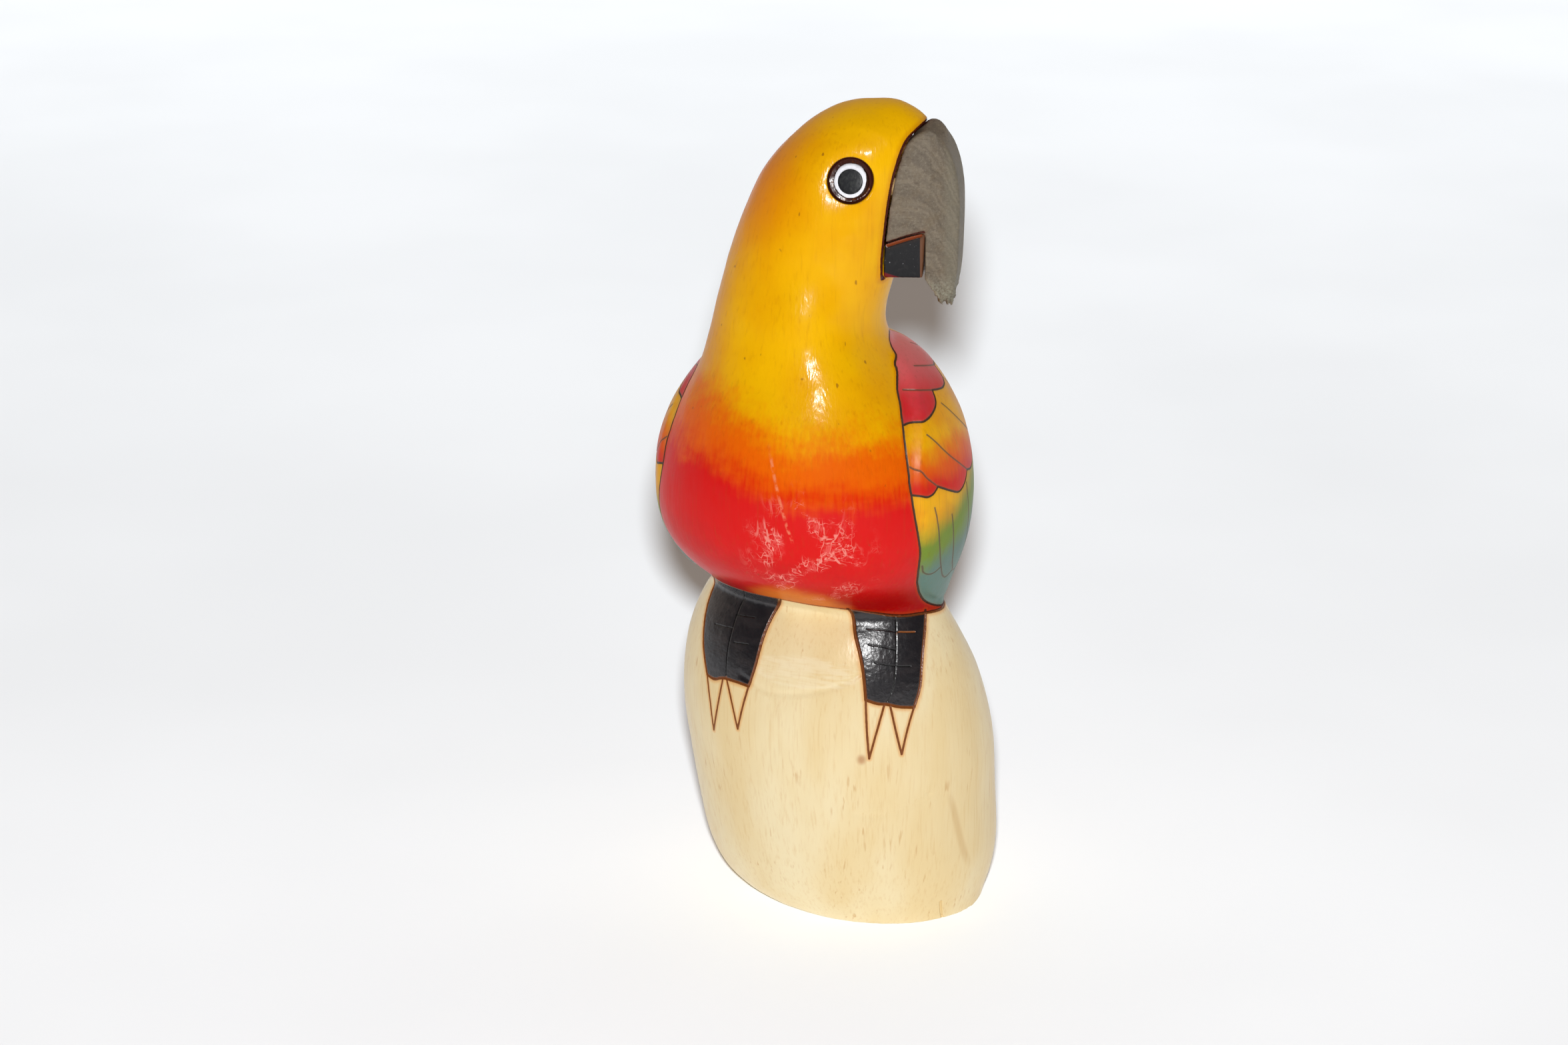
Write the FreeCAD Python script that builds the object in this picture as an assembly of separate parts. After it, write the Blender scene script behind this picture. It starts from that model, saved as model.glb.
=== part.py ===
import FreeCAD, Part
import math
import os

# Carved parrot figure on a stump, millimetres, +Z up.
# The origin is the centre of the stump's flat underside. The breast faces -Y and the head is turned towards +X.
# "Left" and "right" are the bird's own: its left wing is on the +X side.

V = FreeCAD.Vector

# A station is one level section: height, centre x, centre y, half width along x, half depth along y.
STUMP_STATIONS = [
    (0.0, 0.0, 0.0, 34.5, 27.5),
    (4.0, -4.2, -0.5, 39.6, 30.0),
    (12.0, -6.0, -1.0, 43.6, 33.5),
    (28.0, -7.2, -2.0, 46.0, 37.0),
    (50.0, -8.8, -4.0, 47.2, 38.0),
    (68.0, -10.0, -7.0, 46.5, 36.0),
    (82.0, -10.5, -10.0, 43.8, 31.0),
    (92.0, -10.7, -12.0, 40.3, 25.5),
    (101.0, -10.3, -12.6, 36.0, 19.5),
]
BODY_STATIONS = [
    (101.0, -10.3, -12.6, 36.0, 19.5),
    (105.0, -10.4, -13.6, 35.9, 23.6),
    (111.0, -11.8, -15.0, 38.6, 30.4),
    (119.0, -13.4, -16.0, 43.2, 35.8),
    (128.0, -13.4, -16.8, 45.6, 38.6),
    (140.0, -13.1, -17.2, 45.2, 39.3),
    (152.0, -13.1, -17.4, 42.0, 37.6),
    (162.0, -13.4, -17.9, 37.2, 34.0),
    (171.0, -14.2, -18.3, 31.2, 29.3),
    (180.0, -16.0, -18.7, 26.5, 25.5),
]
WING_STATIONS = [
    (90.0, -11.0, -12.0, 27.0, 18.0),
    (99.0, -10.8, -12.5, 36.2, 25.0),
    (108.0, -11.8, -13.5, 39.8, 31.6),
    (120.0, -12.8, -15.0, 45.2, 37.6),
    (134.0, -12.8, -16.0, 47.2, 40.8),
    (147.0, -12.6, -16.2, 46.2, 40.2),
    (158.0, -12.2, -16.0, 42.8, 36.8),
    (167.0, -11.8, -15.5, 37.6, 32.3),
    (173.0, -11.8, -15.0, 32.6, 28.3),
    (178.0, -12.0, -14.5, 25.2, 22.0),
    (181.0, -12.0, -14.0, 13.0, 11.0),
]

# Head stations: height, reach of the centre from the neck's axis along the beak, half length, half thickness.
NECK_X = -16.4
NECK_Y = -18.7
HEAD_YAW = 11.0
HEAD_STATIONS = [
    (190.0, 0.8, 24.4, 23.4),
    (200.0, 3.4, 24.4, 22.0),
    (210.0, 5.9, 23.9, 20.8),
    (220.0, 8.7, 22.9, 19.6),
    (230.0, 12.5, 21.7, 17.8),
    (238.0, 16.9, 19.4, 15.0),
    (243.5, 19.6, 16.0, 11.6),
    (247.0, 20.2, 11.0, 8.0),
    (249.3, 20.3, 5.0, 3.8),
]
HEAD_TOP = 250.0
SECTION_POINTS = 20

# Beak block: height, half thickness at the face, half thickness at the front edge.
BEAK_STATIONS = [
    (188.0, 8.5, 2.0),
    (197.0, 11.5, 4.0),
    (208.0, 13.2, 5.0),
    (222.0, 13.4, 5.2),
    (234.0, 12.2, 4.8),
    (241.0, 9.6, 4.0),
    (247.0, 6.6, 3.0),
]
BEAK_BACK = 14.0
BEAK_FRONT = 48.0
# Side outlines on the head's middle plane: reach from the neck's axis along the beak, height.
FACE_LINE = [(26.6, 211.2), (27.2, 217.0), (28.2, 224.0), (29.4, 231.0), (31.0, 237.5), (34.0, 241.4), (38.9, 243.4)]
BEAK_RIDGE = [(38.9, 243.4), (43.2, 238.4), (45.9, 231.0), (46.9, 221.0), (46.7, 210.0), (46.0, 200.0), (44.2, 193.4)]
BEAK_TIP_BACK = (41.2, 194.8)
BEAK_HEEL = (37.6, 201.0)
MOUTH_LINE = [(37.8, 214.6), (32.6, 213.4), (26.6, 211.2)]
CHIN_Z = 201.4
CHIN_BACK = 26.2
CHIN_FRONT = 37.0
HEAD_SEAT_REACH = 70.0

# Eyes: a painted button in a bored socket, with a burned recess round it.
EYE_REACH = 17.7
EYE_Z = 230.4
EYE_RISE = 16.0
EYE_DEPTH_POS = 16.4
EYE_RECESS_D = 13.6
EYE_RECESS_DEPTH = 1.3
EYE_BUTTON_D = 9.8
EYE_SOCKET_DEPTH = 5.0
EYE_DOME_RADIUS = 14.0

# Wings: outline seen square to each wing, in offset from the wing's middle line and height, cut to a shell.
WING_MIDDLE_ANGLE = 15.0
WING_SHELL = 8.0
WING_OUTLINE = [
    (-4.0, 183.0),
    (-10.0, 177.5),
    (-16.0, 171.5),
    (-22.5, 162.5),
    (-27.5, 154.0),
    (-30.2, 144.0),
    (-29.6, 134.0),
    (-26.2, 122.0),
    (-21.0, 112.5),
    (-15.0, 106.5),
    (-7.0, 103.4),
    (2.0, 102.6),
    (12.0, 105.0),
    (21.5, 112.5),
    (28.5, 125.0),
    (31.5, 142.0),
    (29.0, 161.0),
    (19.0, 177.0),
    (7.0, 186.0),
]
WING_START = 14.0
WING_REACH = 60.0

# Tail: a tapering slab down the back, let into the body and the stump.
TAIL_X = -11.0
TAIL_TOP_Z = 150.0
TAIL_TIP_Z = 20.0
TAIL_TOP_HALF = 11.0
TAIL_TIP_HALF = 7.5
TAIL_OUTER = [(21.0, 152.0), (26.4, 134.0), (29.4, 116.0), (32.0, 92.0), (35.6, 60.0), (37.4, 38.0), (35.5, 19.0)]
TAIL_INNER = [(31.0, 19.0), (31.5, 36.0), (29.5, 60.0), (5.0, 92.0), (4.0, 110.0), (14.0, 152.0)]

# Glued dowels.
WAIST_DOWEL_D = 8.0
WAIST_DOWEL_LENGTH = 50.0
WAIST_DOWEL_SPACING = 34.0
WAIST_DOWEL_Z = 74.0
BEAK_DOWEL_D = 5.0
BEAK_DOWEL_LENGTH = 24.0
BEAK_DOWEL_START = 17.0
BEAK_DOWEL_Z = 225.0


def closed_spline(points):
    curve = Part.BSplineCurve()
    curve.interpolate(Points=points, PeriodicFlag=True)
    return Part.Wire([curve.toShape()])


def level_section(z, cx, cy, half_x, half_y, yaw=0.0):
    turn = math.radians(yaw)
    points = []
    for i in range(SECTION_POINTS):
        angle = 2.0 * math.pi * i / SECTION_POINTS
        x = half_x * math.cos(angle)
        y = half_y * math.sin(angle)
        px = cx + x * math.cos(turn) - y * math.sin(turn)
        py = cy + x * math.sin(turn) + y * math.cos(turn)
        points.append(V(px, py, z))
    return closed_spline(points)


def blend_sections(stations):
    return [level_section(*station) for station in stations]


def head_direction():
    turn = math.radians(HEAD_YAW)
    return V(math.cos(turn), math.sin(turn), 0.0)


def head_side():
    # Points to the bird's right cheek.
    turn = math.radians(HEAD_YAW)
    return V(math.sin(turn), -math.cos(turn), 0.0)


def head_point(reach, side, z):
    return V(NECK_X, NECK_Y, z) + head_direction() * reach + head_side() * side


def head_section(z, reach, half_length, half_thickness):
    centre = head_point(reach, 0.0, z)
    return level_section(z, centre.x, centre.y, half_length, half_thickness, HEAD_YAW)


def stump_blank():
    return Part.makeLoft(blend_sections(STUMP_STATIONS), True)


def body_blank():
    sections = blend_sections(BODY_STATIONS)
    sections += [head_section(*station) for station in HEAD_STATIONS]
    apex = head_point(HEAD_STATIONS[-1][1], 0.0, HEAD_TOP)
    sections.append(Part.Vertex(apex))
    return Part.makeLoft(sections, True)


def wing_blank():
    return Part.makeLoft(blend_sections(WING_STATIONS), True)


def wing_tool(side):
    # Everything outside the inner shell surface and inside the wing's outline, on one side of the bird.
    angle = math.radians(WING_MIDDLE_ANGLE)
    outward = V(side * math.cos(angle), math.sin(angle), 0.0)
    along = V(-side * math.sin(angle), math.cos(angle), 0.0)
    middle = V(WING_STATIONS[4][1], WING_STATIONS[4][2], 0.0) + outward * WING_START
    points = [middle + along * offset + V(0.0, 0.0, z) for offset, z in WING_OUTLINE]
    if side < 0:
        points.reverse()
    prism = Part.Face(closed_spline(points)).extrude(outward * WING_REACH)
    inner = Part.makeLoft(blend_sections(inner_wing_stations()), True)
    return prism.cut(inner)


def inner_wing_stations():
    stations = []
    for z, cx, cy, hx, hy in WING_STATIONS[:-1]:
        stations.append((z, cx, cy, hx - WING_SHELL, hy - WING_SHELL))
    return stations


def open_spline(points):
    curve = Part.BSplineCurve()
    curve.interpolate(Points=points)
    return curve.toShape()


def side_outline(edges, half_width):
    # A flat outline on the head's middle plane, made into a prism across the head.
    face = Part.Face(Part.Wire(edges))
    face.translate(head_side() * -half_width)
    return face.extrude(head_side() * (2.0 * half_width))


def head_line(points):
    return [head_point(reach, 0.0, z) for reach, z in points]


def straight_edges(points):
    return [Part.makeLine(points[i], points[i + 1]) for i in range(len(points) - 1)]


def beak_block():
    sections = []
    for z, back_half, front_half in BEAK_STATIONS:
        knee = BEAK_BACK + 0.72 * (BEAK_FRONT - BEAK_BACK)
        knee_half = 0.5 * (back_half + front_half) + 0.8
        plan = [
            (BEAK_BACK, -back_half),
            (knee, -knee_half),
            (BEAK_FRONT, -front_half),
            (BEAK_FRONT, front_half),
            (knee, knee_half),
            (BEAK_BACK, back_half),
        ]
        points = [head_point(reach, side, z) for reach, side in plan]
        sections.append(Part.makePolygon(points + [points[0]]))
    return Part.makeLoft(sections, True)


def upper_beak_outline():
    face_line = head_line(FACE_LINE)
    ridge = head_line(BEAK_RIDGE)
    mouth = head_line(MOUTH_LINE)
    under = straight_edges([ridge[-1], head_point(BEAK_TIP_BACK[0], 0.0, BEAK_TIP_BACK[1])])
    heel = head_point(BEAK_HEEL[0], 0.0, BEAK_HEEL[1])
    under += straight_edges([head_point(BEAK_TIP_BACK[0], 0.0, BEAK_TIP_BACK[1]), heel, mouth[0]])
    edges = [open_spline(face_line), open_spline(ridge)] + under + [open_spline(mouth)]
    return side_outline(edges, 20.0)


def lower_beak_outline():
    mouth = head_line(MOUTH_LINE)
    chin_front = head_point(CHIN_FRONT, 0.0, CHIN_Z)
    chin_back = head_point(CHIN_BACK, 0.0, CHIN_Z)
    edges = [open_spline(mouth)] + straight_edges([mouth[-1], chin_back, chin_front, mouth[0]])
    return side_outline(edges, 20.0)


def face_cut():
    # Clears everything in front of the face line and above the chin from the head.
    face_line = head_line(FACE_LINE)
    chin_back = head_point(CHIN_BACK, 0.0, CHIN_Z)
    far_low = head_point(HEAD_SEAT_REACH, 0.0, CHIN_Z)
    far_high = head_point(HEAD_SEAT_REACH, 0.0, FACE_LINE[-1][1])
    edges = [open_spline(face_line)]
    edges += straight_edges([face_line[-1], far_high, far_low, chin_back, face_line[0]])
    return side_outline(edges, 40.0)


def eye_axis(side):
    rise = math.radians(EYE_RISE)
    return head_side() * (side * math.cos(rise)) + V(0.0, 0.0, math.sin(rise))


def eye_cylinder(side, diameter, start, length):
    axis = eye_axis(side)
    origin = head_point(EYE_REACH, side * EYE_DEPTH_POS, EYE_Z) + axis * start
    return Part.makeCylinder(diameter / 2.0, length, origin, axis)


def eye_button(side):
    # The front of the button is a shallow dome.
    shank = eye_cylinder(side, EYE_BUTTON_D, -EYE_SOCKET_DEPTH, EYE_SOCKET_DEPTH + 3.0)
    centre = head_point(EYE_REACH, side * EYE_DEPTH_POS, EYE_Z) - eye_axis(side) * (EYE_DOME_RADIUS - 0.3)
    return shank.common(Part.makeSphere(EYE_DOME_RADIUS, centre))


def waist_dowel(side):
    origin = V(BODY_STATIONS[0][1] + side * WAIST_DOWEL_SPACING / 2.0, BODY_STATIONS[0][2], WAIST_DOWEL_Z)
    return Part.makeCylinder(WAIST_DOWEL_D / 2.0, WAIST_DOWEL_LENGTH, origin, V(0, 0, 1))


def beak_dowel():
    origin = head_point(BEAK_DOWEL_START, 0.0, BEAK_DOWEL_Z)
    return Part.makeCylinder(BEAK_DOWEL_D / 2.0, BEAK_DOWEL_LENGTH, origin, head_direction())


def tail_side_prism():
    outer = [V(TAIL_X, y, z) for y, z in TAIL_OUTER]
    inner = [V(TAIL_X, y, z) for y, z in TAIL_INNER]
    edges = [open_spline(outer)] + straight_edges([outer[-1]] + inner + [outer[0]])
    side_face = Part.Face(Part.Wire(edges))
    side_face.translate(V(-30.0, 0.0, 0.0))
    return side_face.extrude(V(60.0, 0.0, 0.0))


def tail_back_prism():
    # Seen from behind: two round ends joined by straight tapering edges.
    low = TAIL_TIP_Z + TAIL_TIP_HALF
    high = TAIL_TOP_Z - TAIL_TOP_HALF
    low_left = V(TAIL_X - TAIL_TIP_HALF, -60.0, low)
    low_right = V(TAIL_X + TAIL_TIP_HALF, -60.0, low)
    high_left = V(TAIL_X - TAIL_TOP_HALF, -60.0, high)
    high_right = V(TAIL_X + TAIL_TOP_HALF, -60.0, high)
    edges = [
        Part.makeLine(high_left, low_left),
        Part.Arc(low_left, V(TAIL_X, -60.0, TAIL_TIP_Z), low_right).toShape(),
        Part.makeLine(low_right, high_right),
        Part.Arc(high_right, V(TAIL_X, -60.0, TAIL_TOP_Z), high_left).toShape(),
    ]
    return Part.Face(Part.Wire(edges)).extrude(V(0.0, 140.0, 0.0))


def tail_blank():
    return tail_side_prism().common(tail_back_prism())


def largest_solid(shape):
    return max(shape.Solids, key=lambda solid: solid.Volume)


def build_parts():
    dowels = {
        "dowel_left": waist_dowel(1),
        "dowel_right": waist_dowel(-1),
        "beak_dowel": beak_dowel(),
    }
    stump = stump_blank()
    body = body_blank()
    wing_shape = wing_blank()
    tail = tail_blank().cut(wing_shape)
    wings = {}
    for name, side in (("wing_left", 1), ("wing_right", -1)):
        tool = wing_tool(side)
        wings[name] = largest_solid(wing_shape.common(tool).cut(stump))
        body = body.cut(wings[name])
    tail = largest_solid(tail.cut(body).cut(stump))
    block = beak_block()
    body = body.cut(face_cut())
    upper_beak = block.common(upper_beak_outline())
    lower_beak = block.common(lower_beak_outline())
    eyes = {}
    for name, side in (("eye_left", -1), ("eye_right", 1)):
        button = eye_button(side)
        recess = eye_cylinder(side, EYE_RECESS_D, -EYE_RECESS_DEPTH, 12.0)
        body = body.cut(recess).cut(button)
        eyes[name] = button
    stump = stump.cut(dowels["dowel_left"]).cut(dowels["dowel_right"])
    body = body.cut(dowels["dowel_left"]).cut(dowels["dowel_right"]).cut(dowels["beak_dowel"])
    upper_beak = upper_beak.cut(dowels["beak_dowel"])
    parts = {
        "stump": largest_solid(stump),
        "body": largest_solid(body),
        "tail": tail,
        "upper_beak": largest_solid(upper_beak),
        "lower_beak": largest_solid(lower_beak),
    }
    parts.update(wings)
    parts.update(eyes)
    parts.update(dowels)
    return parts


def main():
    os.makedirs("parts", exist_ok=True)
    for name, shape in build_parts().items():
        shape.exportStep("parts/" + name + ".step")


main()
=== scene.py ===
import math

import bmesh
import bpy
import numpy as np
from mathutils import Matrix, Vector, noise
from mathutils.bvhtree import BVHTree
from mathutils.kdtree import KDTree


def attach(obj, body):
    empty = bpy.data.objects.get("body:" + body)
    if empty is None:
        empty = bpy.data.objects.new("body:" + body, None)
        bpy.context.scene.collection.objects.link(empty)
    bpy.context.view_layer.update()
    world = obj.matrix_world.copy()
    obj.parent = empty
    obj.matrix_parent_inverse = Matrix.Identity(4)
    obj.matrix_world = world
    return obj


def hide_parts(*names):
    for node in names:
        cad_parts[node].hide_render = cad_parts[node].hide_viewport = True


# Carved parrot figure. Sizes are in millimetres unless a name says otherwise; the frame is in metres.
# "Left" and "right" are the bird's own: its left wing is on the +X side. The breast faces -Y.
MM = 0.001

CAMERA_TARGET = Vector((-10.0, -13.0, 125.0))
CAMERA_DISTANCE = 1000.0
CAMERA_AZIMUTH = 21.0
CAMERA_ELEVATION = 20.0
CAMERA_LENS = 78.26
CAMERA_SHIFT = (-0.0272, -0.0072)
FLASH_ABOVE_LENS = 50.0
FLASH_SIZE = 45.0
FLASH_POWER = 6.4
# The flash's light on the floor alone, which grows with this power of the distance.
SPILL_POWER = 12.0
SPILL_GROWTH = 1.6
SPILL_COLOUR = (0.89, 0.98, 1.05)
# Strength of the room's light from behind the camera and from beyond the object.
ROOM_FRONT = 0.04
ROOM_BACK = 0.75
ROOM_COLOUR = (255, 238, 224)
FLOOR_HALF = 9000.0

# Skin: one closed surface over all but tail and dowels, cut along the burned lines.
SKIN_NODES = ("stump", "body", "wing_left", "wing_right", "eye_left", "eye_right", "upper_beak", "lower_beak")
SKIN_VOXEL = 0.85
SKIN_SMOOTHING = 10
SKIN_RIPPLE = 0.10
SKIN_RIPPLE_SIZE = 9.0
# Voxel size and rounds of smoothing of the pieces that are remeshed alone.
CARVING = {"tail": (0.7, 6), "upper_beak": (0.6, 4), "lower_beak": (0.45, 3)}
# The mesh is halved within each of these distances of a line, then relaxed.
FINE_REACH = (2.6, 1.5)
FINE_ROUNDS = 3

# Half widths and depths of the burning pen's lines: outlines, feather edges and light strokes.
BROAD_HALF = 0.42
BROAD_DEPTH = 0.40
EDGE_HALF = 0.30
EDGE_DEPTH = 0.24
FINE_HALF = 0.24
FINE_DEPTH = 0.14
# A groove's edge is this many half widths from its middle.
GROOVE_EDGE = 1.25
# Distances from a line are not told apart beyond this.
FAR = 12.0

# Axes that the drawings are laid out on, and how far out the rays that drop them on the surface start.
WING_MIDDLE = Vector((-12.8, -16.0, 0.0))
WING_ANGLE = math.radians(15.0)
NECK = Vector((-16.4, -18.7, 0.0))
HEAD_YAW = math.radians(11.0)
HEAD_FORWARD = Vector((math.cos(HEAD_YAW), math.sin(HEAD_YAW), 0.0))
HEAD_CHEEK = Vector((math.sin(HEAD_YAW), -math.cos(HEAD_YAW), 0.0))
WAIST_CENTRE = Vector((-10.3, -12.6, 0.0))
UP = Vector((0.0, 0.0, 1.0))
AXIS_RAY = 90.0
FRONT_RAY = 120.0
CHEEK_RAY = 60.0

# Burned line round the waist: angle in degrees from straight ahead towards the bird's left, height.
WAIST_LINE = [
    (-165.0, 101.5),
    (-120.0, 101.8),
    (-90.0, 103.0),
    (-66.0, 104.4),
    (-44.0, 105.5),
    (-9.0, 105.8),
    (12.0, 104.6),
    (30.0, 103.8),
    (47.0, 102.5),
    (63.0, 100.9),
    (78.0, 100.3),
    (92.0, 99.6),
    (110.0, 100.0),
    (140.0, 101.0),
    (180.0, 101.4),
]
# The fold at the waist is rounded between these angles; distance from the line, rounds of smoothing.
WAIST_SOFT_ANGLES = (-52.0, 66.0)
WAIST_SOFT = (4.5, 30)
# Points inside the pieces that the cuts run to: height at the waist, and reach and height in the head.
WAIST_SEAT_Z = 101.0
BEAK_SEAT = (14.0, 222.0)

# Wing drawings: offset from the wing's middle line towards the tail, height.
WING_OUTLINE = [
    (-3.2, 181.2),
    (-8.6, 178.0),
    (-12.0, 176.0),
    (-14.1, 174.0),
    (-18.2, 170.0),
    (-21.4, 166.0),
    (-24.3, 162.0),
    (-27.5, 156.2),
    (-30.0, 148.5),
    (-30.9, 140.5),
    (-30.0, 132.0),
    (-27.0, 122.8),
    (-23.6, 115.6),
    (-19.4, 109.8),
    (-13.5, 103.9),
    (-8.4, 100.9),
    (-3.5, 100.3),
    (3.0, 101.3),
    (9.5, 103.6),
    (15.4, 107.2),
    (21.8, 111.8),
    (26.0, 116.4),
    (28.8, 121.2),
    (31.2, 127.0),
    (32.5, 134.0),
    (32.7, 143.0),
    (32.5, 151.0),
    (31.9, 157.0),
    (30.0, 162.0),
    (27.8, 166.8),
    (24.2, 171.6),
    (20.4, 175.6),
    (16.5, 178.2),
    (11.0, 179.8),
    (3.5, 181.0),
]
# The wing's fold is rounded in front of and above these; distance from the outline, rounds of smoothing.
SHOULDER_FRONT = -7.0
SHOULDER_LOW = 150.0
SHOULDER_SOFT = (3.0, 12)
# A wing lies more than this far out from its middle line, and its cuts run to a point this far out and up.
WING_INNER = 12.0
WING_SEAT = (30.0, 140.0)
COVERT_EDGE = [
    [(-24.4, 161.4), (-19.3, 163.1), (-15.1, 165.4), (-12.8, 168.3)],
    [(-12.8, 168.3), (-6.5, 167.3), (-1.0, 168.2), (0.8, 171.6)],
    [(0.8, 171.6), (6.5, 171.6), (10.5, 174.0), (11.4, 179.4)],
]
COVERT_QUILLS = [
    [(-17.7, 169.7), (-12.8, 168.3)],
    [(-10.4, 174.6), (-4.0, 172.8), (0.8, 171.6)],
    [(3.4, 177.2), (7.0, 175.4), (10.5, 174.4)],
]
MIDDLE_EDGE = [
    [(-30.8, 142.8), (-29.2, 141.8), (-27.4, 142.3), (-25.9, 143.9)],
    [(-25.9, 143.9), (-21.4, 141.2), (-17.4, 139.7), (-13.6, 141.3), (-11.2, 144.2)],
    [(-11.2, 144.2), (-7.0, 143.4), (-2.5, 144.6), (1.0, 147.6), (2.6, 151.2)],
    [(2.6, 151.2), (7.0, 150.6), (11.5, 153.2), (14.3, 159.0)],
    [(14.3, 159.0), (18.5, 158.8), (23.0, 161.6), (27.0, 167.2)],
]
# Corners above the wing that close each edge round the feathers above it.
COVERT_CORNERS = [(14.5, 200.0), (-60.0, 200.0), (-60.0, 161.4)]
MIDDLE_CORNERS = [(60.0, 168.0), (60.0, 200.0), (-60.0, 200.0), (-60.0, 142.8)]
MIDDLE_QUILLS = [
    [(-29.2, 150.6), (-28.4, 147.2), (-25.9, 143.9)],
    [(-24.0, 158.6), (-20.6, 152.6), (-16.4, 148.2), (-11.2, 144.2)],
    [(-13.0, 164.5), (-8.0, 158.4), (-3.2, 154.6), (2.6, 151.2)],
    [(-0.5, 168.5), (4.5, 164.2), (9.0, 161.6), (14.3, 159.0)],
]
PRIMARY_QUILLS = [
    [(-27.3, 138.0), (-25.9, 132.3), (-23.8, 125.4), (-20.8, 119.0), (-16.6, 113.6)],
    [(-21.1, 134.0), (-18.3, 125.6), (-14.9, 118.2), (-11.0, 113.2)],
    [(-12.6, 140.8), (-11.2, 133.4), (-8.4, 125.0), (-4.2, 115.6)],
    [(-2.6, 143.6), (-1.2, 134.0), (2.0, 124.0), (5.4, 115.8)],
    [(7.6, 149.6), (8.8, 138.0), (12.0, 127.0), (15.2, 118.0)],
    [(18.4, 157.6), (19.2, 146.0), (21.6, 136.0), (24.4, 127.6)],
]
PRIMARY_TIPS = [
    [(-25.2, 119.4), (-23.4, 116.4), (-21.4, 116.0), (-19.6, 117.4)],
    [(-16.6, 113.6), (-13.8, 112.0), (-11.0, 113.2)],
    [(-11.0, 113.2), (-7.4, 112.6), (-4.2, 115.6)],
    [(-4.2, 115.6), (0.8, 113.2), (5.4, 115.8)],
    [(5.4, 115.8), (10.6, 114.6), (15.2, 118.0)],
    [(15.2, 118.0), (20.2, 120.6), (24.4, 127.6)],
]

# Leg drawings on the front of the stump: x, height.
LEG_TOP = 110.0
LEGS = [
    {
        "outer": [(-41.2, 104.6), (-42.9, 97.2), (-43.2, 92.0), (-42.4, 85.0), (-39.8, 76.8)],
        "inner": [(-14.7, 106.0), (-18.5, 99.6), (-20.7, 93.0), (-22.2, 84.6), (-24.0, 78.0)],
        "hem": [(-39.8, 76.8), (-36.8, 76.6), (-33.2, 78.0), (-28.2, 78.2), (-24.0, 78.0)],
        "shin": [(-27.4, 105.6), (-30.2, 99.3), (-31.6, 93.0), (-32.4, 86.0), (-32.2, 78.4)],
        "claws": [
            [(-39.8, 76.8), (-38.3, 69.0), (-37.1, 60.2)],
            [(-33.4, 78.0), (-34.9, 70.2), (-37.1, 60.2)],
            [(-32.2, 78.6), (-30.1, 72.6), (-27.6, 63.8)],
            [(-24.0, 78.0), (-25.9, 71.0), (-27.6, 63.8)],
        ],
        "scales": [
            [(-31.2, 96.2), (-24.6, 96.9)],
            [(-38.4, 91.9), (-31.6, 92.6)],
            [(-30.5, 89.0), (-25.6, 89.6)],
        ],
    },
    {
        "outer": [(23.4, 101.0), (24.3, 94.4), (24.8, 87.0), (25.0, 80.5), (24.0, 74.8)],
        "inner": [(4.5, 104.0), (6.1, 97.2), (8.9, 90.3), (10.6, 84.0), (11.6, 78.0)],
        "hem": [(24.0, 74.8), (20.5, 75.4), (17.4, 76.4), (14.8, 76.8), (11.6, 78.0)],
        "shin": [(16.3, 102.0), (17.6, 95.0), (18.4, 89.0), (18.6, 82.0), (17.2, 77.4)],
        "claws": [
            [(11.6, 78.0), (12.2, 70.2), (13.0, 59.9)],
            [(16.6, 76.6), (15.0, 68.6), (13.0, 59.9)],
            [(18.0, 76.3), (19.6, 69.4), (21.4, 60.7)],
            [(24.0, 74.8), (22.9, 69.4), (21.4, 60.7)],
        ],
        "scales": [
            [(9.4, 97.5), (13.5, 97.2), (17.4, 96.5), (21.9, 95.9)],
            [(10.7, 93.4), (14.0, 92.8), (17.9, 91.7)],
            [(13.0, 88.5), (18.4, 87.3), (22.2, 86.8)],
        ],
    },
]
# A drying check at the foot of the stump, and flat cuts of a knife.
BASE_CHECK = [(28.9, 7.4), (28.5, 3.6), (28.3, 0.4)]
CHECK_HALF = 0.5
CHECK_DEPTH = 0.8
NICKS = [
    [(-27.0, 80.6), (-17.0, 77.6), (-7.4, 78.6), (2.0, 81.0), (9.2, 85.2)],
    [(8.6, 41.6), (13.0, 40.6), (18.9, 41.4), (24.0, 43.6), (28.0, 46.2)],
]
NICK_HALF = 1.1
NICK_DEPTH = 0.26

# Seam between head and beak: forward reach from the neck's axis, height.
FACE_LINE = [
    (25.9, 200.6),
    (26.0, 205.8),
    (26.4, 210.7),
    (27.0, 216.6),
    (27.7, 222.4),
    (28.8, 229.1),
    (29.9, 233.7),
    (31.2, 238.1),
    (32.6, 241.0),
    (34.8, 243.2),
    (38.2, 245.6),
    (42.0, 247.6),
]
SEAM_HALF = 0.5
# The seam is looked for no lower and no further back than this from its lower end.
SEAM_BELOW = 2.0
SEAM_BEHIND = 4.0
SEAM_FINE_REACH = 0.6
# The hooked tip of the beak: heights, and reach from the neck's axis.
TIP_Z = (186.0, 206.0)
TIP_REACH = 30.0
MOUTH_LINE = [(37.4, 214.9), (32.6, 213.6), (27.0, 211.6)]
GUM_LINE = [(36.6, 214.0), (32.6, 212.8), (27.4, 211.0)]
# The broken tip frays below this height, fully within a span.
FRAY_TOP = 199.0
FRAY_SPAN = 5.0
FRAY_ROUGHNESS = 1.2
SHARD_LENGTH = 3.2

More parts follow.
